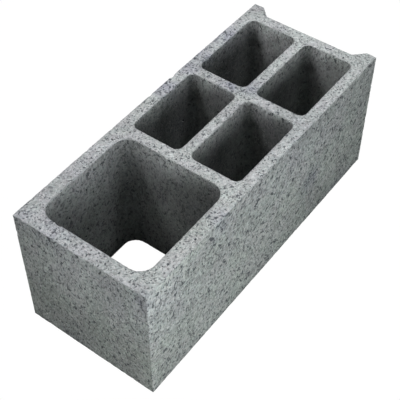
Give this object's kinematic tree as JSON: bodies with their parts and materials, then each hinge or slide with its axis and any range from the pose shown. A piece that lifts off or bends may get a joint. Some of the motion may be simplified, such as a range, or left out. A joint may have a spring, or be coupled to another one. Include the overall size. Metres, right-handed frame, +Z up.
{
  "type": "hollow concrete corner block",
  "caption": "Hollow concrete masonry block with a large square through cell at its plain end, smaller through cells behind it and a mortar recess in the other end.",
  "frame": {"origin": "centre of the bottom bed face, on the surface that the block stands on", "axes": "+X along the length, from the plain end with the large cell to the end with the mortar recess; +Y across the wall, to the left when looking along +X; +Z up, along the cells"},
  "size_m": [0.5, 0.2, 0.2],
  "materials": {
    "concrete": "matte"
  },
  "bodies": {
    "root": {"concrete_block": "concrete"}
  },
  "joints": []
}
